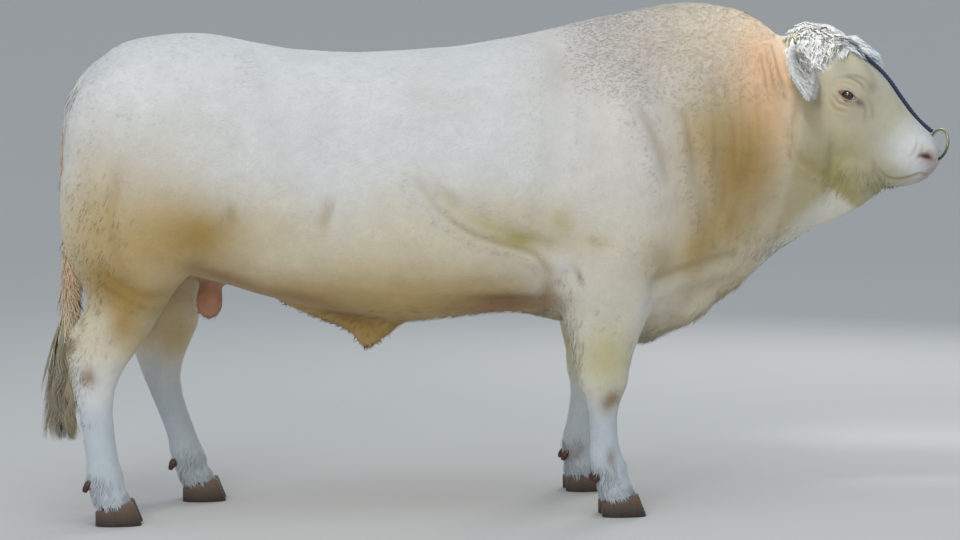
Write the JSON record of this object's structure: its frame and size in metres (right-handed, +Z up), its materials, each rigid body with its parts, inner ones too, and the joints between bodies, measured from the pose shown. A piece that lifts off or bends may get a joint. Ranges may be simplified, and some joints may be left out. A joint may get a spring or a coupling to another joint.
{
  "type": "blonde d'aquitaine bull",
  "caption": "Life-size standing beef bull with a long, heavy body, short thick legs, head turned a little to its right, nose ring, nose rope and blank ear tag.",
  "frame": {"origin": "on the floor under the middle of the bounding box", "axes": "+X from the tail towards the head, +Y towards the animal's left side, +Z up"},
  "size_m": [2.8132, 0.7708, 1.6108],
  "materials": {
    "white_coat": "short flat fur, nearly white",
    "cream_coat": "short flat fur, wheat cream",
    "tan_coat": "short fur, pale tan",
    "leg_coat": "short flat fur, cool white",
    "forelock": "curly white and tan hair",
    "switch_hair": "long wavy blond hair",
    "bare_skin": "bare reddish brown skin, satin",
    "hoof": "dark brown horn",
    "eye": "wet and glossy",
    "ring": "worn metal",
    "rope": "twisted dark blue rope",
    "tag": "blank orange plastic"
  },
  "bodies": {
    "root": {"head": "white_coat", "neck": "cream_coat", "forequarter": "cream_coat", "barrel": "white_coat", "hindquarter": "cream_coat", "right_foreleg_upper": "cream_coat", "right_foreleg_lower": "leg_coat", "right_foreleg_inner_claw": "hoof", "right_foreleg_outer_claw": "hoof", "right_foreleg_inner_dewclaw": "hoof", "right_foreleg_outer_dewclaw": "hoof", "left_foreleg_upper": "cream_coat", "left_foreleg_lower": "leg_coat", "left_foreleg_inner_claw": "hoof", "left_foreleg_outer_claw": "hoof", "left_foreleg_inner_dewclaw": "hoof", "left_foreleg_outer_dewclaw": "hoof", "right_hindleg_upper": "cream_coat", "right_hindleg_lower": "leg_coat", "right_hindleg_inner_claw": "hoof", "right_hindleg_outer_claw": "hoof", "right_hindleg_inner_dewclaw": "hoof", "right_hindleg_outer_dewclaw": "hoof", "left_hindleg_upper": "cream_coat", "left_hindleg_lower": "leg_coat", "left_hindleg_inner_claw": "hoof", "left_hindleg_outer_claw": "hoof", "left_hindleg_inner_dewclaw": "hoof", "left_hindleg_outer_dewclaw": "hoof", "tail": "tan_coat", "tail_switch": "switch_hair", "scrotum": "bare_skin", "sheath": "tan_coat", "eye_right": "eye", "eye_left": "eye", "ear_right": "white_coat", "ear_left": "white_coat", "ear_tag": "tag", "nose_ring": "ring", "face_rope": "rope", "poll_tuft": "forelock"}
  },
  "joints": []
}
